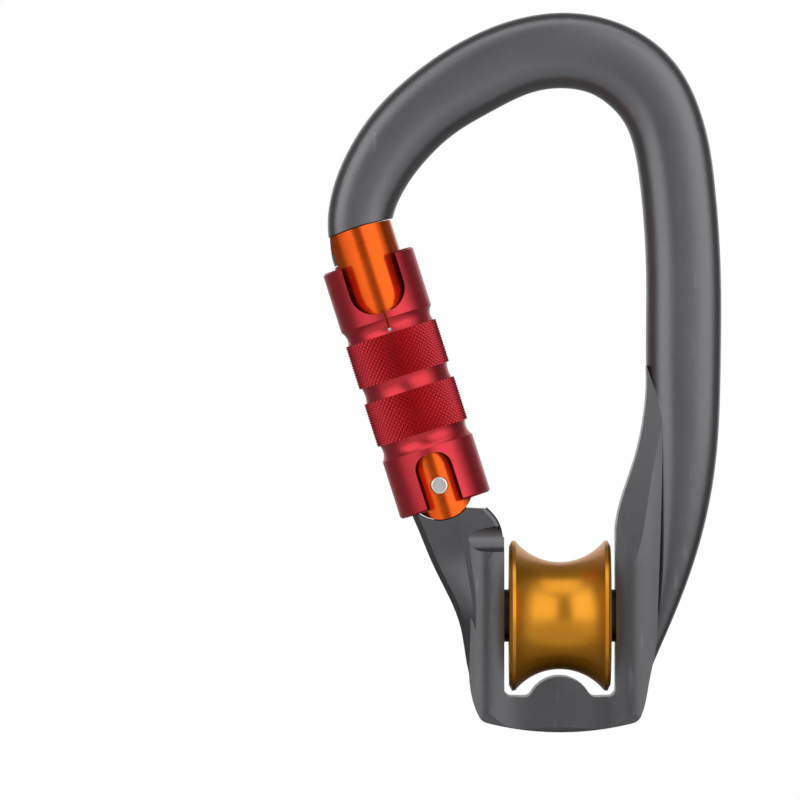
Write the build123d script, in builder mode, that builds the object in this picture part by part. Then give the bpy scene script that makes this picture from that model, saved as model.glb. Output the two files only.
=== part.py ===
"""Pulley carabiner with a three-action locking gate, in millimetres.

The frame is one forged bar: it starts at the nose, runs over the wide bow and down the spine, and ends in a
U-shaped housing for the sheave and a neck that carries the gate. The sheave turns on two ball bearings on a
steel axle across the housing. The gate swings inwards on a rivet in the neck, and a knurled sleeve on the
gate is lifted and turned to free it.

X lies along the sheave's axle, Y through the flat of the frame, and Z up towards the bow. The origin is the
centre of the sheave.
"""

from build123d import *
from math import asin, cos, degrees, hypot, pi, radians, sin, sqrt
import os

# ---------------------------------------------------------------- sheave and its bearings
root_radius = 9.0  # bottom of the rope groove
groove_radius = 9.6  # the groove's own curve
groove_half_width = 7.45
flange_radius = 12.65
sheave_half_width = 8.5
flange_edge_round = 0.5

axle_radius = 3.0
bearing_radius = 6.5
bearing_width = 5.0
bearing_recess = 0.6  # bearing face below the sheave's side
inner_ring_radius = 4.1
outer_ring_bore = 5.6
ball_radius = 0.79
ball_pitch_radius = 4.85
ball_count = 8
race_clearance = 0.04
cage_wall = 0.45
cage_half_width = 1.15
cage_pocket_clearance = 0.05
seal_thickness = 0.3
seal_gap = 0.12
bearing_shoulder_radius = 5.6

# ---------------------------------------------------------------- housing
housing_gap = 0.85  # between the sheave and the housing, all round
housing_half_depth = 7.0
scoop_radius, scoop_height = 2.3, 13.1  # the hollow under the neck plate
scoop_shallow_end, scoop_deep_end = (-16.9, 6.1), (-7.5, 3.6)  # X and half depth of its floor
slot_bump_radius, slot_bump_gap = 5.6, 1.1  # the housing's rise under the groove
axle_start, axle_end = -16.5, 14.6  # open and blind ends of the axle's bore
axle_recess = 0.3
washer_radius = 4.4

# ---------------------------------------------------------------- frame bar
neck_edge_round = 0.8

# ---------------------------------------------------------------- gate
gate_tilt = 17.7  # degrees from vertical
gate_pivot_x, gate_pivot_z = -20.2, 21.9
gate_radius = 5.7
gate_waist_depth = 0.8
gate_waist_radius = gate_radius - gate_waist_depth
gate_length = 45.3  # pivot to the nose end
gate_heel = gate_radius  # pivot to the rounded lower end
gate_end_clearance = 0.2
gate_opening = 20  # degrees
waist_bottom, waist_top = 8.2, 25.5
rivet_radius = 1.5
rivet_dome = 0.35
rivet_reach = gate_radius + 0.3
pivot_clearance = 0.05
tongue_half_depth = 2.0
tongue_clearance = 0.1
fork_depth = 5.3  # above the pivot
cam_relief = 1.25  # keeps the cam inside the sleeve's bore
cam_radius = gate_radius - cam_relief
cam_offset_x, cam_offset_z = 1.28, -0.25  # from the pivot, in the gate's own axes

plunger_radius = 1.75
plunger_clearance = 0.08
plunger_gap = 0.06
plunger_shoulder = 10.0
plunger_spigot_radius = 0.85
plunger_spigot_end = 13.0
spring_bore_end = 28.0
gate_wire_radius = 0.3
gate_spring_radius = 1.35
gate_spring_turns = 11

nose_neck_half = 1.5
nose_head_half = 2.4
nose_tip = 40.65  # distances from the pivot
nose_head_top = 42.6
nose_inner_edge, nose_outer_edge = 1.3, 7.0
nose_clearance = 0.2
nose_rim_radius = gate_radius - 0.1
nose_blend_start, nose_blend_radius = 39.0, 22.0  # the gate's outer side carries on the bow's curve
nose_blend_overlap = 0.03

# ---------------------------------------------------------------- locking sleeve
sleeve_running_clearance = 0.08  # of the sleeve's two lands on the gate
sleeve_bore_relief = 0.65  # of the rest of its bore
sleeve_wall = 1.55
sleeve_groove_depth = 0.6
knurl_land_depth = 0.4  # under the knurl's points
sleeve_bore = gate_radius + sleeve_bore_relief
sleeve_land_bore = gate_radius + sleeve_running_clearance
sleeve_radius = sleeve_bore + sleeve_wall
sleeve_groove_radius = sleeve_radius - sleeve_groove_depth
knurl_land_radius = sleeve_radius - knurl_land_depth
sleeve_bottom, sleeve_top = -3.5, 39.6
sleeve_edge = 0.35
knurl_bands = ((9.25, 16.7), (19.35, 26.8))
smooth_bottom_top = 6.55
smooth_top_bottom = 29.3
lower_land = (6.1, 8.4)
upper_land = (26.4, 29.9)
window_half_width, window_bottom, window_round = 4.7, 30.4, 4.0
slot_half_width, slot_top, slot_round = 3.15, 5.6, 2.6
slit_width = 0.35
pin_radius, pin_height = 0.3, 27.4
pin_engagement = 0.45  # of the pin in the gate's pocket
pin_inner_radius = gate_radius - pin_engagement
lift_travel = 3.0
pin_clearance = 0.15
pin_pocket_depth = 0.65
pin_pocket_radius = gate_radius - pin_pocket_depth
seat_ring_height = 1.5
ring_clearance = 0.05
sleeve_wire_radius = 0.4
sleeve_spring_gap = 0.32  # between the spring and the gate's waist
sleeve_spring_radius = gate_waist_radius + sleeve_wire_radius + sleeve_spring_gap
sleeve_spring_turns = 6
spring_end_gap = 0.05

parts_folder = "parts"
os.makedirs(parts_folder, exist_ok=True)
finished = []


def finish(part, label):
    """Name a finished piece and keep it for writing out."""
    part.label = label
    finished.append(part)


# ---------------------------------------------------------------- planes
front = Plane.XZ
pivot = Vector(gate_pivot_x, 0, gate_pivot_z)
gate_up = Vector(-sin(radians(gate_tilt)), 0, cos(radians(gate_tilt)))
gate_in = Vector(cos(radians(gate_tilt)), 0, sin(radians(gate_tilt)))
gate_front = Plane(origin=pivot, x_dir=gate_in, z_dir=(0, -1, 0))  # x inwards, y up the gate
gate_cross = Plane(origin=pivot, x_dir=gate_in, z_dir=gate_up)
gate_axis = Axis(pivot, gate_up)
far = 60.0  # larger than any cut


def across_gate(height):
    """Plane square to the gate, this far above its pivot."""
    return gate_cross.offset(height)


def from_gate(inwards, up):
    """Frame X and Z of a point given inwards from and up along the gate, from its pivot."""
    point = pivot + gate_in * inwards + gate_up * up
    return (point.X, point.Z)


# ---------------------------------------------------------------- sheave
def sheave_outline():
    """Half outline above the axis: groove, rims and sides, as points and arcs from the left."""
    groove_edge = root_radius + groove_radius - sqrt(groove_radius**2 - groove_half_width**2)
    side = sheave_half_width
    Line((-side, 0), (-side, flange_radius - flange_edge_round * 2))
    Line((-side, flange_radius - flange_edge_round * 2), (-side + flange_edge_round, flange_radius))
    Line((-side + flange_edge_round, flange_radius), (-groove_half_width, groove_edge))
    ThreePointArc((-groove_half_width, groove_edge), (0, root_radius), (groove_half_width, groove_edge))
    Line((groove_half_width, groove_edge), (side - flange_edge_round, flange_radius))
    Line((side - flange_edge_round, flange_radius), (side, flange_radius - flange_edge_round * 2))
    Line((side, flange_radius - flange_edge_round * 2), (side, 0))


bearing_out = sheave_half_width - bearing_recess  # outer face of each bearing
bearing_in = bearing_out - bearing_width

with BuildPart() as sheave:
    with BuildSketch(front):
        with BuildLine():
            sheave_outline()
            Line((sheave_half_width, 0), (-sheave_half_width, 0))
        make_face()
    revolve(axis=Axis.X)
    with BuildSketch(Plane.YZ):
        Circle(bearing_shoulder_radius)
    extrude(amount=far, both=True, mode=Mode.SUBTRACT)
    with BuildSketch(Plane.YZ.offset(bearing_in), Plane.YZ.offset(-bearing_in - far)):
        Circle(bearing_radius)
    extrude(amount=far, mode=Mode.SUBTRACT)
finish(sheave.part, "sheave")


def ring(start, end, inner, outer):
    """A plain ring on the X axis from start to end."""
    with BuildPart() as made:
        with BuildSketch(Plane.YZ.offset(start)):
            Circle(outer)
            Circle(inner, mode=Mode.SUBTRACT)
        extrude(amount=end - start)
    return made.part


def race(centre):
    """The ball track of one bearing, to cut from its rings."""
    with BuildPart() as made:
        with BuildSketch(front):
            with Locations((centre, ball_pitch_radius)):
                Circle(ball_radius + race_clearance)
        revolve(axis=Axis.X)
    return made.part


def balls(centre, radius):
    """All the balls of one bearing, as separate spheres."""
    with BuildPart() as made:
        with Locations(Plane.YZ.offset(centre)):
            with PolarLocations(ball_pitch_radius, ball_count):
                Sphere(radius)
    return made.part


for side, name in ((-1, "outer_side"), (1, "spine_side")):
    centre = side * (bearing_in + bearing_width / 2)
    low, high = centre - bearing_width / 2, centre + bearing_width / 2
    finish(ring(low, high, axle_radius, inner_ring_radius) - race(centre), f"{name}_bearing_inner_ring")
    outer_ring = ring(low, high, outer_ring_bore, bearing_radius) - race(centre)
    finish(outer_ring, f"{name}_bearing_outer_ring")
    finish(balls(centre, ball_radius), f"{name}_bearing_balls")
    cage = ring(
        centre - cage_half_width,
        centre + cage_half_width,
        ball_pitch_radius - cage_wall,
        ball_pitch_radius + cage_wall,
    )
    with BuildPart() as pockets:
        with Locations(Plane.YZ.offset(centre)):
            with PolarLocations(ball_pitch_radius, ball_count):
                Cylinder(ball_radius + cage_pocket_clearance, 2, rotation=(0, 90, 0))
    finish(cage - pockets.part, f"{name}_bearing_cage")
    seals = Part() + [
        ring(start, start + seal_thickness, inner_ring_radius + seal_gap, outer_ring_bore)
        for start in (low + seal_gap, high - seal_gap - seal_thickness)
    ]
    finish(seals, f"{name}_bearing_seals")

finish(ring(-bearing_in, bearing_in, axle_radius, inner_ring_radius), "bearing_spacer")

leg_face = sheave_half_width + housing_gap  # inner face of each leg
finish(ring(-leg_face, -bearing_out, axle_radius, washer_radius), "outer_side_washer")
finish(ring(bearing_out, leg_face, axle_radius, washer_radius), "spine_side_washer")

# ---------------------------------------------------------------- frame: bow and spine
# Stations round the bar from the nose to the housing: the outer point, the inner point and the half depth.
bar_stations = [
    (from_gate(-5.55, 42.5), from_gate(5.7, 42.5), 5.7),
    ((-38.9, 66.4), (-27.9, 67.2), 5.8),
    ((-37.2, 74.2), (-26.0, 71.6), 5.9),
    ((-32.3, 83.1), (-23.0, 75.8), 6.0),
    ((-25.7, 90.0), (-18.3, 80.4), 6.0),
    ((-16.6, 96.3), (-11.3, 84.7), 6.0),
    ((-6.0, 100.4), (-4.0, 88.0), 6.0),
    ((4.4, 100.9), (2.4, 88.4), 6.0),
    ((13.3, 97.9), (6.7, 86.9), 6.0),
    ((20.0, 91.9), (10.2, 83.7), 6.0),
    ((24.1, 83.0), (12.3, 79.2), 6.0),
    ((26.0, 72.5), (13.6, 71.4), 6.0),
    ((27.0, 58.0), (14.5, 57.8), 6.0),
    ((27.0, 42.0), (14.5, 42.0), 6.0),
    ((26.6, 30.5), (14.9, 30.5), 5.9),
    ((25.0, 18.5), (15.2, 17.0), 5.6),
    ((22.0, 7.5), (15.0, 5.0), 5.1),
    ((18.3, -2.0), (13.8, -3.4), 4.5),
    ((15.1, -9.5), (12.0, -10.5), 3.8),
]
section_points = 24
outer_squareness, inner_squareness = 3.6, 2.5  # superellipse powers: tight outer rim, soft inner roll


def bar_section(width, half_depth):
    """Points round one section: x runs from the inner to the outer edge, y through the depth."""
    points = []
    for step in range(section_points):
        turn = 2 * pi * step / section_points
        across, through = cos(turn), sin(turn)
        power = 2 / (outer_squareness if across > 0 else inner_squareness)
        x = width / 2 * abs(across) ** power * (1 if across >= 0 else -1)
        y = half_depth * abs(through) ** power * (1 if through >= 0 else -1)
        points.append((x, y))
    return points


with BuildPart() as bar:
    for outer, inner, half_depth in bar_stations:
        dx, dz = outer[0] - inner[0], outer[1] - inner[1]
        middle = ((outer[0] + inner[0]) / 2, 0, (outer[1] + inner[1]) / 2)
        with BuildSketch(Plane(origin=middle, x_dir=(dx, 0, dz), z_dir=(-dz, 0, dx))):
            with BuildLine():
                Spline(*bar_section(hypot(dx, dz), half_depth), periodic=True)
            make_face()
    loft()


# ---------------------------------------------------------------- frame: housing, neck and tongue
slot_floor = -flange_radius - housing_gap
slot_bump_top = -root_radius - slot_bump_gap
slot_corner_round = 1.3

# Sections up the outer leg and the neck: height, ridge and its half depth, silhouette and its half depth.
flank_sections = [
    (-13.0, -13.0, 5.4, -14.4, 4.4),
    (-8.5, -13.6, 6.0, -15.5, 4.6),
    (-4.1, -14.0, 6.3, -16.2, 4.7),
    (0.2, -14.4, 6.4, -17.3, 4.8),
    (4.4, -15.0, 6.3, -19.2, 4.9),
    (9.3, -15.8, 5.9, -21.6, 5.0),
    (13.7, -16.5, 5.6, -23.4, 5.2),
    (19.5, -16.8, 5.6, -25.7, 5.3),
]
neck_inner = [(-9.3, 8.0), (-9.5, 12.7), (-10.3, 15.9), (-12.0, 18.0), (-15.2, 20.6)]
leg_outer = [(14.9, -10.8), (15.9, -6.0), (16.3, 0.0), (16.6, 8.0), (16.9, 17.0), (17.1, 25.7), (17.2, 34.0)]
leg_inner = [(14.5, 42.0), (14.0, 32.8), (12.5, 26.1), (10.3, 19.4), (9.3, 14.0)]
leg_side_profile = [
    (housing_half_depth - 2.6, -20.4),
    (housing_half_depth - 0.9, -18.9),
    (housing_half_depth - 0.2, -16.6),
    (housing_half_depth, -8.0),
    (housing_half_depth, 4.0),
    (housing_half_depth - 0.35, 14.0),
    (housing_half_depth - 0.9, 24.0),
    (housing_half_depth - 2.0, 34.0),
    (housing_half_depth - 4.5, 46.0),
]
# Across the housing, each leg's front is crowned: X and half depth from the outer leg to the spine side.
leg_front_profile = [
    (-17.0, 4.3),
    (-14.9, 5.9),
    (-13.4, 6.65),
    (-11.9, 6.85),
    (-9.4, 6.45),
    (0.0, 6.3),
    (9.4, 6.45),
    (11.9, 6.85),
    (13.6, 6.7),
    (15.4, 6.1),
    (18.5, 4.3),
]


# The outer leg's flank, which widens and turns into the flat neck under the gate.
with BuildPart() as flank:
    for height, ridge, ridge_depth, edge, edge_depth in flank_sections:
        with BuildSketch(Plane.XY.offset(height)):
            with BuildLine():
                Polyline(
                    (-8.0, -ridge_depth),
                    (ridge, -ridge_depth),
                    (edge + 1.0, -edge_depth),
                    (edge, -edge_depth + 1.2),
                    (edge, edge_depth - 1.2),
                    (edge + 1.0, edge_depth),
                    (ridge, ridge_depth),
                    (-8.0, ridge_depth),
                    close=True,
                )
            make_face()
    loft()
    with BuildSketch(front):
        with BuildLine():
            Spline(*neck_inner)
            Polyline(neck_inner[-1], (-15.0, far), (far, far), (far, neck_inner[0][1]), neck_inner[0])
        make_face()
    extrude(amount=far, both=True, mode=Mode.SUBTRACT)
    neck_rim = [
        edge
        for edge in edges()
        if abs(edge.center().Y) > 4 and edge.center().X > -14 and edge.center().Z > 14 and edge.length > 4
    ]
    fillet(neck_rim, neck_edge_round)

# The U of the housing, whose spine-side leg runs up into the spine.
with BuildPart() as housing:
    with BuildSketch(front):
        with BuildLine():
            ThreePointArc((-13.1, -17.6), (0, -19.4), (13.1, -17.6))
            Spline((13.1, -17.6), (14.3, -14.2), *leg_outer)
            Line(leg_outer[-1], leg_inner[0])
            Spline(*leg_inner)
            Polyline(leg_inner[-1], (8.6, 5.0), (8.6, -9.0), (-8.6, -9.0), (-8.6, 13.2), (-15.2, 13.2))
            Spline((-15.2, 13.2), (-15.0, 3.0), (-15.1, -5.0), (-15.2, -9.5), (-14.6, -14.2), (-13.1, -17.6))
        make_face()
        corners = [vertex for vertex in vertices() if abs(abs(vertex.X) - 13.1) < 0.1 and vertex.Y < -17]
        fillet(corners, 2.2)
    extrude(amount=far, both=True)
    with BuildSketch(Plane.YZ):
        with BuildLine():
            Spline(*leg_side_profile)
            Line(leg_side_profile[-1], (-leg_side_profile[-1][0], leg_side_profile[-1][1]))
            Spline(*[(-y, z) for y, z in reversed(leg_side_profile)])
            Line((-leg_side_profile[0][0], leg_side_profile[0][1]), leg_side_profile[0])
        make_face()
    extrude(amount=far, both=True, mode=Mode.INTERSECT)
    with BuildSketch(Plane.XY):
        with BuildLine():
            Spline(*leg_front_profile)
            Line(leg_front_profile[-1], (leg_front_profile[-1][0], -leg_front_profile[-1][1]))
            Spline(*[(x, -y) for x, y in reversed(leg_front_profile)])
            Line((leg_front_profile[0][0], -leg_front_profile[0][1]), leg_front_profile[0])
        make_face()
    extrude(amount=far, both=True, mode=Mode.INTERSECT)

# The slot for the sheave, through the housing, with the same gap under the groove as at the flanges.
with BuildPart() as slot:
    with BuildSketch(front):
        with Locations((0, slot_floor + far / 2)):
            Rectangle(leg_face * 2, far)
        with Locations((0, slot_bump_top - slot_bump_radius)):
            Circle(slot_bump_radius, mode=Mode.SUBTRACT)
        fillet([vertex for vertex in vertices() if vertex.Y < slot_floor + 1], slot_corner_round)
    extrude(amount=far, both=True)

# The hook at the nose that sits in the gate's end slot.
def nose_hook(grow, inner_edge, outer_edge, top):
    """A T-shaped bar swept about the rivet, from its inner to its outer edge."""
    turn_in = degrees(asin(inner_edge / nose_head_top))
    turn_out = degrees(asin(outer_edge / nose_head_top))
    lean = radians(gate_tilt - turn_in)
    with BuildPart() as made:
        with BuildSketch(Plane(origin=pivot, x_dir=(0, 1, 0), z_dir=(cos(lean), 0, sin(lean)))):
            with Locations((0, (nose_tip - grow + nose_head_top + grow) / 2)):
                Rectangle((nose_head_half + grow) * 2, nose_head_top - nose_tip + grow * 2)
            with Locations((0, (nose_head_top + top) / 2)):
                Rectangle((nose_neck_half + grow) * 2, top - nose_head_top)
        revolve(axis=Axis(pivot, (0, -1, 0)), revolution_arc=turn_in + turn_out)
    return made.part


def disc(radius, half_depth):
    """A disc about the gate's rivet."""
    with BuildPart() as made:
        with BuildSketch(gate_front):
            Circle(radius)
        extrude(amount=half_depth, both=True)
    return made.part


sleeve_reach = hypot(sleeve_radius, sleeve_bottom) + gate_end_clearance / 2
with BuildPart() as swing_relief:
    for turn in (0, -gate_opening):
        with BuildSketch(gate_front):
            Circle(sleeve_reach)
            with Locations(Location((0, 0), turn)):
                with Locations((0, sleeve_bottom - gate_end_clearance / 2 - far / 2)):
                    Rectangle(far * 2, far, mode=Mode.SUBTRACT)
        extrude(amount=far, both=True)
with BuildPart() as nose_guard:
    with BuildSketch(across_gate(nose_tip - 2)):
        Circle(nose_rim_radius)
    extrude(amount=far)

with BuildPart() as tongue:
    with BuildSketch(gate_front):
        with Locations((cam_offset_x, cam_offset_z)):
            Circle(cam_radius)
        with BuildLine():
            Polyline((-2.6, 0), (3.2, 0), (3.2, -5.0), (4.2, -9.0), (-2.6, -9.0), close=True)
        make_face()
        Circle(rivet_radius + pivot_clearance, mode=Mode.SUBTRACT)
    extrude(amount=tongue_half_depth, both=True)

with BuildPart() as nose_blend:
    with BuildSketch(gate_front):
        with Locations((-gate_radius, nose_blend_start + far / 2)):
            Rectangle(gate_radius * 2, far)
        with Locations((nose_blend_radius - gate_radius - nose_blend_overlap, nose_blend_start)):
            Circle(nose_blend_radius, mode=Mode.SUBTRACT)
    extrude(amount=far, both=True)

end_gap_radius = gate_length + gate_end_clearance
neck = flank.part - swing_relief.part - disc(gate_heel + gate_end_clearance, far)
with BuildPart() as nose_cut:
    with BuildSketch(gate_front):
        Circle(end_gap_radius)
        with Locations((-far / 2 + 15, 0)):
            Rectangle(far, far * 2, mode=Mode.INTERSECT)
    extrude(amount=far, both=True)
bow = bar.part - nose_cut.part
hook = nose_hook(0, nose_inner_edge, nose_outer_edge, end_gap_radius + 0.15) & nose_guard.part
hook = hook - nose_blend.part
frame = bow + housing.part
frame = frame + neck + tongue.part
for side in (-1, 1):
    (x_start, y_start), (x_end, y_end) = scoop_shallow_end, scoop_deep_end
    scoop_start = Vector(x_start, side * (y_start + scoop_radius), scoop_height)
    scoop_run = Vector(x_end, side * (y_end + scoop_radius), scoop_height) - scoop_start
    with BuildPart() as scoop:
        with BuildSketch(Plane(origin=scoop_start, x_dir=(0, 0, 1), z_dir=scoop_run)):
            Circle(scoop_radius)
        extrude(amount=scoop_run.length)
    frame = frame - scoop.part
frame = frame - slot.part + hook
with BuildPart() as axle_bore:
    with BuildSketch(Plane.YZ.offset(axle_start - 4)):
        Circle(axle_radius)
    extrude(amount=axle_end - axle_start + 4)
frame = frame - axle_bore.part
finish(frame, "frame")

with BuildPart() as axle:
    with BuildSketch(Plane.YZ.offset(axle_start + axle_recess)):
        Circle(axle_radius)
    extrude(amount=axle_end - axle_start - axle_recess)
    chamfer(axle.edges(), 0.25)
finish(axle.part, "axle")

# ---------------------------------------------------------------- gate
with BuildPart() as gate:
    with BuildSketch(across_gate(-gate_heel - 1)):
        Circle(gate_radius)
    extrude(amount=gate_heel + gate_length + 2)
    with BuildSketch(gate_front):
        Circle(gate_heel)
        with Locations((0, far / 2)):
            Rectangle(far, far)
        Circle(gate_length, mode=Mode.INTERSECT)
    extrude(amount=far, both=True, mode=Mode.INTERSECT)
    with BuildSketch(across_gate(waist_bottom)):
        Circle(far)
        Circle(gate_waist_radius, mode=Mode.SUBTRACT)
    extrude(amount=waist_top - waist_bottom, mode=Mode.SUBTRACT)
    with BuildSketch(gate_front):
        with Locations((0, fork_depth - far / 2)):
            Rectangle(far, far)
    extrude(amount=tongue_half_depth + tongue_clearance, both=True, mode=Mode.SUBTRACT)
    with BuildSketch(gate_front):
        Circle(rivet_radius)
    extrude(amount=far, both=True, mode=Mode.SUBTRACT)
    with BuildSketch(across_gate(fork_depth - 1)):
        Circle(plunger_radius + plunger_clearance)
    extrude(amount=spring_bore_end - fork_depth + 1, mode=Mode.SUBTRACT)
    pocket_reach = pin_radius + pin_clearance
    pocket_turn = degrees(asin(pocket_reach / pin_pocket_radius))
    with BuildSketch(across_gate(pin_height - pocket_reach)):
        with BuildLine():
            start = (far * sin(radians(-pocket_turn)), -far * cos(radians(pocket_turn)))
            end = (far * cos(radians(pocket_turn)), far * sin(radians(pocket_turn)))
            Polyline((0, 0), start, (far, -far), end, close=True)
        make_face()
        Circle(pin_pocket_radius, mode=Mode.SUBTRACT)
    extrude(amount=lift_travel + pocket_reach * 2, mode=Mode.SUBTRACT)
hook_room = nose_hook(nose_clearance, nose_inner_edge + nose_clearance, gate_radius + 4, gate_length + 2)
gate_body = gate.part - hook_room - nose_blend.part
finish(gate_body, "gate_body")

with BuildPart() as gate_rivet:
    with BuildSketch(gate_front):
        Circle(rivet_radius)
    extrude(amount=rivet_reach, both=True)
    fillet(gate_rivet.edges(), rivet_dome)
finish(gate_rivet.part, "gate_rivet")

plunger_tip = cam_offset_z + cam_radius + plunger_gap
with BuildPart() as plunger:
    with BuildSketch(across_gate(plunger_tip)):
        Circle(plunger_radius)
    extrude(amount=plunger_shoulder - plunger_tip)
    with BuildSketch(across_gate(plunger_shoulder)):
        Circle(plunger_spigot_radius)
    extrude(amount=plunger_spigot_end - plunger_shoulder)
    chamfer(plunger.faces().sort_by(gate_axis)[0].edges(), 0.2)
finish(plunger.part, "gate_plunger")


def coil(low, high, radius, wire, turns):
    """A compression spring about the gate's axis between two faces, one solid."""
    start = low + wire + spring_end_gap
    rise = high - low - 2 * (wire + spring_end_gap)
    path = Helix(pitch=rise / turns, height=rise, radius=radius, center=pivot + gate_up * start, direction=gate_up)
    with BuildPart() as made:
        with BuildSketch(Plane(origin=path @ 0, z_dir=path % 0)):
            Circle(wire)
        sweep(path=path, is_frenet=True)
    return made.part


gate_spring = coil(plunger_shoulder, spring_bore_end, gate_spring_radius, gate_wire_radius, gate_spring_turns)
finish(gate_spring, "gate_spring")

# ---------------------------------------------------------------- locking sleeve
bore_profile = [(sleeve_bore, sleeve_top)]
for low, high in (upper_land, lower_land):
    bore_profile += [(sleeve_bore, high), (sleeve_land_bore, high), (sleeve_land_bore, low), (sleeve_bore, low)]
bore_profile.append((sleeve_bore, sleeve_bottom))

with BuildPart() as sleeve:
    with BuildSketch(gate_front):
        with BuildLine():
            Polyline(
                bore_profile[-1],
                (sleeve_radius - sleeve_edge, sleeve_bottom),
                (sleeve_radius, sleeve_bottom + sleeve_edge),
                (sleeve_radius, smooth_bottom_top),
            )
            start = (sleeve_radius, smooth_bottom_top)
            for low, high in knurl_bands:
                middle = (sleeve_groove_radius, (start[1] + low) / 2)
                ThreePointArc(start, middle, (knurl_land_radius, low))
                Line((knurl_land_radius, low), (knurl_land_radius, high))
                start = (knurl_land_radius, high)
            end = (sleeve_radius, smooth_top_bottom)
            ThreePointArc(start, (sleeve_groove_radius, (start[1] + end[1]) / 2), end)
            Polyline(
                end,
                (sleeve_radius, sleeve_top - sleeve_edge),
                (sleeve_radius - sleeve_edge, sleeve_top),
                *bore_profile,
            )
        make_face()
    revolve(axis=gate_axis)
    with BuildSketch(gate_front):
        with Locations((0, window_bottom + far / 2)):
            Rectangle(window_half_width * 2, far)
        fillet([vertex for vertex in vertices() if vertex.Y < window_bottom + 1], window_round)
    extrude(amount=far, both=True, mode=Mode.SUBTRACT)
    with BuildSketch(gate_front):
        with Locations((0, slot_top - far / 2)):
            Rectangle(slot_half_width * 2, far)
        fillet([vertex for vertex in vertices() if vertex.Y > slot_top - 1], slot_round)
    extrude(amount=far, both=True, mode=Mode.SUBTRACT)
    with BuildSketch(gate_front):
        with Locations((0, (pin_height + window_bottom + 1) / 2)):
            Rectangle(slit_width, window_bottom + 1 - pin_height)
        with Locations((0, pin_height)):
            Circle(pin_radius)
    extrude(amount=far, mode=Mode.SUBTRACT)
finish(sleeve.part, "sleeve")

with BuildPart() as sleeve_pin:
    with BuildSketch(gate_front.offset(pin_inner_radius)):
        with Locations((0, pin_height)):
            Circle(pin_radius)
    extrude(amount=sleeve_groove_radius - pin_inner_radius)
finish(sleeve_pin.part, "sleeve_pin")

ring_low = lower_land[1]
ring_high = ring_low + seat_ring_height
with BuildPart() as seat_ring:
    with BuildSketch(across_gate(ring_low)):
        Circle(sleeve_bore - ring_clearance)
        Circle(gate_waist_radius + ring_clearance, mode=Mode.SUBTRACT)
    extrude(amount=seat_ring_height)
finish(seat_ring.part, "spring_seat_ring")
sleeve_spring = coil(ring_high, waist_top, sleeve_spring_radius, sleeve_wire_radius, sleeve_spring_turns)
finish(sleeve_spring, "sleeve_spring")

for piece in finished:
    export_step(piece, os.path.join(parts_folder, f"{piece.label}.step"))
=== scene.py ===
import math

import bmesh
import bpy
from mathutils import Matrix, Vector


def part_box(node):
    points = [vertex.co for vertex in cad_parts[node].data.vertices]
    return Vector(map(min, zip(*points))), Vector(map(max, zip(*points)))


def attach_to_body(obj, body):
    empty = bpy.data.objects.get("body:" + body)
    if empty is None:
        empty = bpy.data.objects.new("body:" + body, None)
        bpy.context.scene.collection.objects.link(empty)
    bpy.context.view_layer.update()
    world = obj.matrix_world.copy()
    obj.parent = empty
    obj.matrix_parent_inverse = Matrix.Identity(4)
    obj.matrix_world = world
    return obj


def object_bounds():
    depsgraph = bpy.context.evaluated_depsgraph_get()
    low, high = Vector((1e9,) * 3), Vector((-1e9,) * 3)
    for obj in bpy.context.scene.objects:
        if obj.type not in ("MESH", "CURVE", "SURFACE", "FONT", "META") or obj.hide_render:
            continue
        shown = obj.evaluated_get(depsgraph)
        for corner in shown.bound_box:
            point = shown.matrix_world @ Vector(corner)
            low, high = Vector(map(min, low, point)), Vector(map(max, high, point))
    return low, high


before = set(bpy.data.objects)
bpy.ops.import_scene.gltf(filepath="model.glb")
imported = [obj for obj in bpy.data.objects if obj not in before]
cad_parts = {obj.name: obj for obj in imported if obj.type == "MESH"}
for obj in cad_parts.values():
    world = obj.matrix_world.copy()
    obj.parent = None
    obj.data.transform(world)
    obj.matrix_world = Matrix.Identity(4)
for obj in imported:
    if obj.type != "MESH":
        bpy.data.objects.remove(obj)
bpy.ops.object.select_all(action="DESELECT")
bpy.context.view_layer.objects.active = None
cad_low, cad_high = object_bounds()


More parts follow.
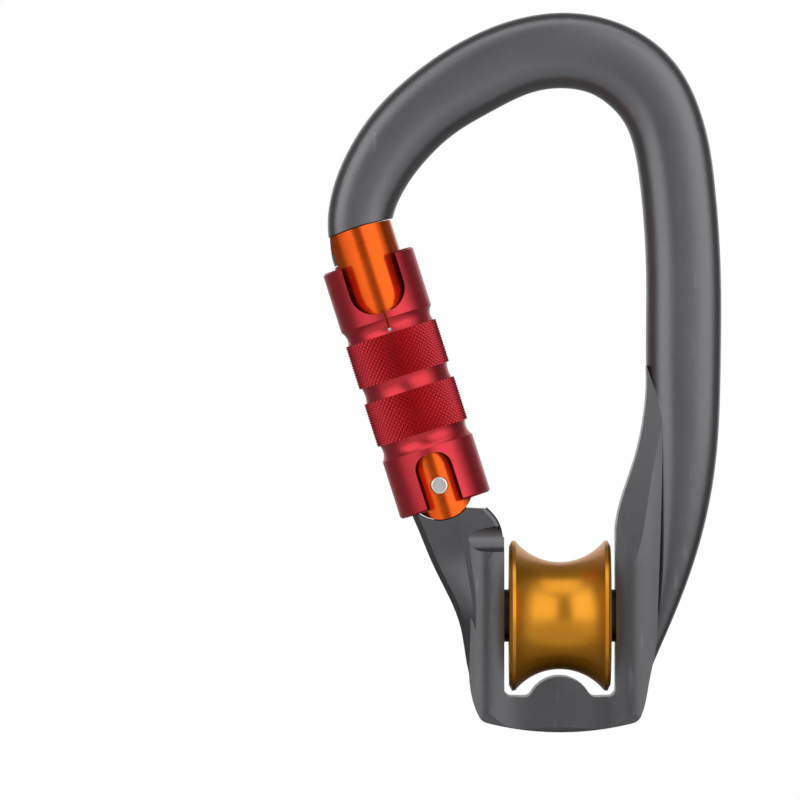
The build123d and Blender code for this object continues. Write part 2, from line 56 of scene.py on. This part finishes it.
# ---------------------------------------------------------------------------
# The forged bar: aluminium alloy, tumbled smooth, then anodised a dark satin grey.
# Its surface is close and even, with a fine grain, a slow drift of tone and a few light rub marks.
class Wire:
    """One shader socket that takes plain arithmetic, and makes the nodes that it needs."""

    def __init__(self, tree, socket=None):
        self.tree = tree
        self.socket = socket

    def node(self, kind, inputs=None, output=0, **settings):
        """Any node: its settings first, then the values or the links of its sockets."""
        made = self.tree.nodes.new(kind)
        for name, value in settings.items():
            setattr(made, name, value)
        for name, value in (inputs or {}).items():
            if isinstance(value, Wire):
                self.tree.links.new(value.socket, made.inputs[name])
            else:
                made.inputs[name].default_value = value
        return Wire(self.tree, made.outputs[output])

    def maths(self, operation, first, second=0.0, clamp=False):
        inputs = {0: first, 1: second}
        return self.node("ShaderNodeMath", inputs, operation=operation, use_clamp=clamp)

    def __add__(self, other):
        return self.maths("ADD", self, other)

    __radd__ = __add__

    def __sub__(self, other):
        return self.maths("SUBTRACT", self, other)

    def __rsub__(self, other):
        return self.maths("SUBTRACT", other, self)

    def __mul__(self, other):
        return self.maths("MULTIPLY", self, other)

    __rmul__ = __mul__

    def clamp(self):
        return self.maths("ADD", self, clamp=True)

    def noise(self, place, scale, detail=3.0, rough=0.5):
        inputs = {"Vector": place, "Scale": scale, "Detail": detail, "Roughness": rough}
        return self.node("ShaderNodeTexNoise", inputs)

    def blend(self, mask, below, above):
        """A colour between two, each (red, green, blue) or a wire: below where the mask is 0."""
        below, above = ((*tone, 1) if isinstance(tone, tuple) else tone for tone in (below, above))
        inputs = {"Factor": mask, 6: below, 7: above}
        return self.node("ShaderNodeMix", inputs, output=2, data_type="RGBA")

    def stretched(self, place, scale, turn=(0, 0, 0)):
        """The place scaled along each axis: a pattern grows longer where the scale is below 1."""
        inputs = {"Vector": place, "Scale": scale, "Rotation": turn}
        return self.node("ShaderNodeMapping", inputs, vector_type="POINT")

    def bump(self, height, strength, depth):
        inputs = {"Height": height, "Strength": strength, "Distance": depth}
        return self.node("ShaderNodeBump", inputs)


def begin(name):
    """A new material: its wires, its surface node and the place on the piece in metres."""
    material = bpy.data.materials.new(name)
    material.use_nodes = True
    wires = Wire(material.node_tree)
    surface = material.node_tree.nodes["Principled BSDF"]
    place = wires.node("ShaderNodeTexCoord", output="Object")
    return material, wires, surface, place


def attach(wires, surface, **links):
    """Links each wire to the surface's socket of that name, with _ for a space."""
    for name, wire in links.items():
        wires.tree.links.new(wire.socket, surface.inputs[name.replace("_", " ")])


def dress(node, material):
    """Gives one solid of the pulley its finish."""
    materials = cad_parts[node].data.materials
    materials.clear()
    materials.append(material)


bar_grey, wires, surface, place = begin("dark_grey_anodised")
drift = wires.noise(place, 45, 2.0)
grain = wires.noise(place, 2600, 3.0, 0.7)
rubs = wires.noise(wires.stretched(place, (1, 1, 0.16)), 900, 2.0, 0.4)
rub_marks = (rubs * 5 - 3.3).clamp() * 0.6 * wires.noise(place, 120, 3.0)  # only the noise's peaks
tone = (drift * 0.7 + grain * 0.3).clamp()
# Painted shade: below this height the housing's colour is painted darker than the bow's, standing
# in for the shade that falls on it. The darkening begins at this height and is complete 1/36 m
# lower.
painted_shade_top, painted_shade_rate = 0.034, 36
height = wires.node("ShaderNodeSeparateXYZ", {"Vector": place}, output="Z")
painted_shade_mask = ((painted_shade_top - height) * painted_shade_rate).clamp()
bow_tone = wires.blend(tone, (0.098, 0.098, 0.104), (0.140, 0.140, 0.146))
# The darker tone is painted shade, blended in by the mask towards the bottom.
painted_shade_tone = wires.blend(tone, (0.068, 0.068, 0.072), (0.102, 0.102, 0.107))
tone_with_painted_shade = wires.blend(painted_shade_mask, bow_tone, painted_shade_tone)
attach(
    wires,
    surface,
    Base_Color=wires.blend(rub_marks, tone_with_painted_shade, (0.24, 0.24, 0.25)),
    Roughness=0.27 + drift * 0.1 + grain * 0.06,
    Normal=wires.bump(grain, 0.12, 0.00006),
)
surface.inputs["Metallic"].default_value = 0.85
dress("frame", bar_grey)


# ---------------------------------------------------------------------------
# The sheave: an aluminium wheel turned from bar, polished in its groove and gold anodised.
# It runs on the two bearings pressed into its bore, and fine turning marks run round its axle.
gold, wires, surface, place = begin("gold_anodised")
turning = wires.noise(wires.stretched(place, (1, 0.02, 0.02)), 4200, 2.0, 0.5)
drift = wires.noise(place, 110, 2.0)
attach(
    wires,
    surface,
    Base_Color=wires.blend(drift, (0.45, 0.178, 0.009), (0.55, 0.230, 0.014)),
    Roughness=0.24 + turning * 0.06 + drift * 0.05,
    Normal=wires.bump(turning, 0.03, 0.00002),
)
surface.inputs["Metallic"].default_value = 0.82
dress("sheave", gold)


# ---------------------------------------------------------------------------
# The gate: an aluminium rod, turned, forked at its foot over the hinge tongue and orange anodised.
# A rivet through fork and tongue holds it, and it leans outwards from there up to the bow's nose.
gate_tilt = math.radians(17.7)


def turned_anodised(name, dark, light, rough, metal):
    """Anodised aluminium with fine turning marks round the gate's own axis."""
    material, wires, surface, place = begin(name)
    along_gate = wires.stretched(place, (1, 1, 1), (0, gate_tilt, 0))
    turning = wires.noise(wires.stretched(along_gate, (0.03, 0.03, 1)), 7000, 2.0, 0.6)
    drift = wires.noise(place, 130, 3.0)
    attach(
        wires,
        surface,
        Base_Color=wires.blend(drift, dark, light),
        Roughness=rough + turning * 0.08 + drift * 0.06,
        Normal=wires.bump(turning, 0.08, 0.00003),
    )
    surface.inputs["Metallic"].default_value = metal
    return material


orange = turned_anodised("orange_anodised", (0.54, 0.066, 0.004), (0.66, 0.094, 0.007), 0.17, 0.9)
dress("gate_body", orange)


# ---------------------------------------------------------------------------
# The locking sleeve: an aluminium tube, turned with three grooves and red anodised.
# It slides up on the gate against its spring and then turns, and its pin runs in the gate's pocket.
red = turned_anodised("red_anodised", (0.40, 0.022, 0.031), (0.50, 0.034, 0.045), 0.26, 0.88)
dress("sleeve", red)


# ---------------------------------------------------------------------------
# The knurl: two bands of small four-sided points, rolled into the sleeve before it is anodised, so
# they are as red as the rest of it. The ends of each band turn down into the metal.
points_round, point_rows = 112, 18
valley_radius, point_height = 0.00763, 0.00035
tuck_radius = 0.00723
band_heights = {"knurl_lower": (0.00925, 0.0167), "knurl_upper": (0.01935, 0.0268)}

rivet_low, rivet_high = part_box("gate_rivet")
gate_pivot = (rivet_low + rivet_high) / 2
up_gate = Vector((-math.sin(gate_tilt), 0, math.cos(gate_tilt)))


def choose(band, kind, wanted):
    """In edit mode, selects only the "verts" or "edges" of the band that pass the test."""
    bpy.ops.mesh.select_mode(type={"verts": "VERT", "edges": "EDGE"}[kind])
    bpy.ops.mesh.select_all(action="DESELECT")
    mesh = bmesh.from_edit_mesh(band.data)
    for part in getattr(mesh, kind):
        if wanted(part):
            part.select_set(True)
    mesh.select_flush_mode()
    bmesh.update_edit_mesh(band.data)


def knurl_band(name, low, high):
    """One band about the gate's axis between two heights, in metres from the rivet."""
    centre = gate_pivot + up_gate * (low + high) / 2
    depth = high - low
    bpy.ops.mesh.primitive_cylinder_add(
        vertices=points_round,
        radius=valley_radius,
        depth=depth,
        end_fill_type="NOTHING",
        calc_uvs=False,
        location=centre,
        rotation=(0, -gate_tilt, 0),
    )
    band = bpy.context.object
    band.name = band.data.name = name

    def widen(ratio):
        size = (ratio, ratio, 1)
        bpy.ops.transform.resize(value=size, orient_type="LOCAL", center_override=centre)

    def lengthwise(edge):
        return abs(edge.verts[0].co.z - edge.verts[1].co.z) > depth / 2

    def every_other(corner):
        column = round(math.atan2(corner.co.y, corner.co.x) / math.tau * points_round)
        row = round((corner.co.z / depth + 0.5) * point_rows)
        in_wall = corner.co.xy.length > (valley_radius + tuck_radius) / 2
        return in_wall and (column + row) % 2 == 0

    bpy.ops.object.mode_set(mode="EDIT")
    choose(band, "edges", lengthwise)
    bpy.ops.mesh.subdivide(number_cuts=point_rows - 1)
    choose(band, "edges", lambda edge: edge.is_boundary)
    bpy.ops.mesh.extrude_region_move()
    widen(tuck_radius / valley_radius)
    choose(band, "verts", every_other)
    widen(1 + point_height / valley_radius)
    bpy.ops.mesh.select_all(action="SELECT")
    bpy.ops.mesh.quads_convert_to_tris(quad_method="SHORTEST_DIAGONAL")
    bpy.ops.mesh.normals_make_consistent(inside=False)
    bpy.ops.object.mode_set(mode="OBJECT")
    bpy.ops.object.transform_apply(location=True, rotation=True, scale=True)
    band.select_set(False)
    return band


for name, (low, high) in band_heights.items():
    band = knurl_band(name, low, high)
    band.data.materials.append(red)
    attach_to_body(band, "sleeve")


# ---------------------------------------------------------------------------
# The steel: the axle, spacer and plunger are turned and ground, the rivet and pin polished bright,
# and the two coil springs wound from drawn wire. All of it is bare metal with fine upright marks.
def steel(name, dark, light, rough):
    """Bare brushed steel between two tones, (red, green, blue)."""
    material, wires, surface, place = begin(name)
    brushed = wires.noise(wires.stretched(place, (1, 1, 0.1)), 5200, 3.0, 0.6)
    drift = wires.noise(place, 300, 2.0)
    attach(
        wires,
        surface,
        Base_Color=wires.blend((brushed * 0.5 + drift * 0.5).clamp(), dark, light),
        Roughness=rough + brushed * 0.14,
        Normal=wires.bump(brushed, 0.1, 0.00003),
    )
    surface.inputs["Metallic"].default_value = 1.0
    return material


bright_steel = steel("bright_rivet_steel", (0.60, 0.59, 0.57), (0.78, 0.77, 0.75), 0.22)
ground_steel = steel("ground_bearing_steel", (0.45, 0.45, 0.46), (0.62, 0.62, 0.63), 0.18)
wire_steel = steel("drawn_spring_wire", (0.34, 0.34, 0.35), (0.50, 0.50, 0.52), 0.26)
for finish, nodes in (
    (bright_steel, ("gate_rivet", "sleeve_pin")),
    (ground_steel, ("axle", "bearing_spacer", "gate_plunger")),
    (wire_steel, ("gate_spring", "sleeve_spring")),
):
    for node in nodes:
        dress(node, finish)


# ---------------------------------------------------------------------------
# The moulded pieces: the two washers and the spring's seat ring in black acetal, and rubber seals.
# The bearings' cages are tan nylon, snapped round the bright steel balls between the ground rings.
def moulded(name, dark, light, rough):
    """Plastic or rubber with the fine speckle of its mould, between two tones."""
    material, wires, surface, place = begin(name)
    speckle = wires.noise(place, 1800, 3.0, 0.6)
    drift = wires.noise(place, 160, 2.0)
    attach(
        wires,
        surface,
        Base_Color=wires.blend((speckle * 0.4 + drift * 0.6).clamp(), dark, light),
        Roughness=rough + speckle * 0.16,
        Normal=wires.bump(speckle, 0.15, 0.00004),
    )
    return material


black_acetal = moulded("black_acetal", (0.008, 0.008, 0.009), (0.020, 0.020, 0.021), 0.40)
cage_nylon = moulded("tan_nylon", (0.20, 0.13, 0.06), (0.30, 0.21, 0.11), 0.42)
seal_rubber = moulded("seal_rubber", (0.012, 0.012, 0.014), (0.030, 0.030, 0.033), 0.60)
for node in ("outer_side_washer", "spine_side_washer", "spring_seat_ring"):
    dress(node, black_acetal)
bearing_finishes = {
    "inner_ring": ground_steel,
    "outer_ring": ground_steel,
    "balls": bright_steel,
    "cage": cage_nylon,
    "seals": seal_rubber,
}
for side in ("outer_side", "spine_side"):
    for ring, finish in bearing_finishes.items():
        dress(f"{side}_bearing_{ring}", finish)


# ---------------------------------------------------------------------------
# The studio: a pale floor well below the hanging pulley, a plain bright surround, and three soft
# lamps, two in front at its sides and one above. Dark felt flags behind the pulley and behind the
# camera are there only for the metal to mirror.
floor_white, wires, surface, place = begin("studio_floor")
mottle = wires.noise(place, 4, 2.0)
attach(wires, surface, Base_Color=wires.blend(mottle, (0.88, 0.88, 0.88), (0.92, 0.92, 0.92)))
surface.inputs["Roughness"].default_value = 0.8
floor_drop = 0.12
bpy.ops.mesh.primitive_plane_add(size=6, location=(0, 0, cad_low.z - floor_drop))
floor = bpy.context.object
floor.name = "studio_floor"
floor.data.materials.append(floor_white)
floor.visible_camera = False

world = bpy.data.worlds.new("studio")
bpy.context.scene.world = world
world.use_nodes = True
surround = Wire(world.node_tree)
seen = surround.node("ShaderNodeLightPath", output="Is Camera Ray")
mirrored = surround.node("ShaderNodeLightPath", output="Is Glossy Ray")
through_glass = surround.node("ShaderNodeLightPath", output="Is Transmission Ray")
white = (seen + mirrored + through_glass).clamp()
fill = 0.55  # how strongly the surround lights the pulley; to the eye it is plain white
background = world.node_tree.nodes["Background"].inputs
background["Color"].default_value = (1, 1, 1, 1)
world.node_tree.links.new((white * (1 - fill) + fill).socket, background["Strength"])

middle = (cad_low + cad_high) / 2


def soft_lamp(name, offset, width, height, watts):
    """An oblong lamp at this offset from the pulley's middle, in metres, facing it."""
    data = bpy.data.lights.new(name, "AREA")
    data.shape = "RECTANGLE"
    data.size, data.size_y, data.energy = width, height, watts
    lamp = bpy.data.objects.new(name, data)
    lamp.location = middle + Vector(offset)
    lamp.rotation_euler = (-Vector(offset)).to_track_quat("-Z", "Y").to_euler()
    bpy.context.scene.collection.objects.link(lamp)


soft_lamp("lamp_left", (-0.68, -0.66, 0.10), 0.84, 1.30, 4.4)
soft_lamp("lamp_right", (0.56, -0.80, 0.10), 0.98, 1.30, 4.8)
soft_lamp("lamp_top", (0.0, -0.35, 0.90), 1.20, 0.60, 2.2)

flag_felt, wires, surface, place = begin("flag_felt")
mottle = wires.noise(place, 8, 2.0)
attach(wires, surface, Base_Color=wires.blend(mottle, (0.02, 0.02, 0.02), (0.03, 0.03, 0.03)))
flag_glow = 0.20  # keeps the rims dark grey, not black
surface.inputs["Roughness"].default_value = 0.9
surface.inputs["Emission Color"].default_value = (1, 1, 1, 1)
surface.inputs["Emission Strength"].default_value = flag_glow


def flag(name, place, width, height, rotation):
    """A dark felt flag that only reflections see, so that the metal's rims read dark."""
    bpy.ops.mesh.primitive_plane_add(size=1, location=place, rotation=rotation)
    made = bpy.context.object
    made.name = name
    made.scale = (width, height, 1)
    made.data.materials.append(flag_felt)
    made.visible_camera = made.visible_diffuse = made.visible_shadow = False


quarter = math.pi / 2
for side, name in ((-1, "left"), (1, "right")):
    flag(f"flag_{name}", (side * 0.50, 0.30, 0.04), 0.80, 1.3, (quarter, 0, quarter))
for name, height in (("above", 0.55), ("below", -0.13)):
    flag(f"flag_{name}", (0, 0.32, height), 1.0, 0.76, (0, 0, 0))
flag("flag_camera", (-0.22, -1.60, 0.05), 0.80, 2.8, (quarter, 0, 0))

camera_data = bpy.data.cameras.new("camera")
camera_data.lens, camera_data.sensor_width = 402, 36
camera_data.clip_start, camera_data.clip_end = 0.01, 20
camera = bpy.data.objects.new("camera", camera_data)
camera.location = middle + Vector((-0.02053, -1.5, -0.004694))
camera.rotation_euler = (quarter, 0, 0)
bpy.context.scene.collection.objects.link(camera)
bpy.context.scene.camera = camera
bpy.context.scene.view_settings.view_transform = "Standard"
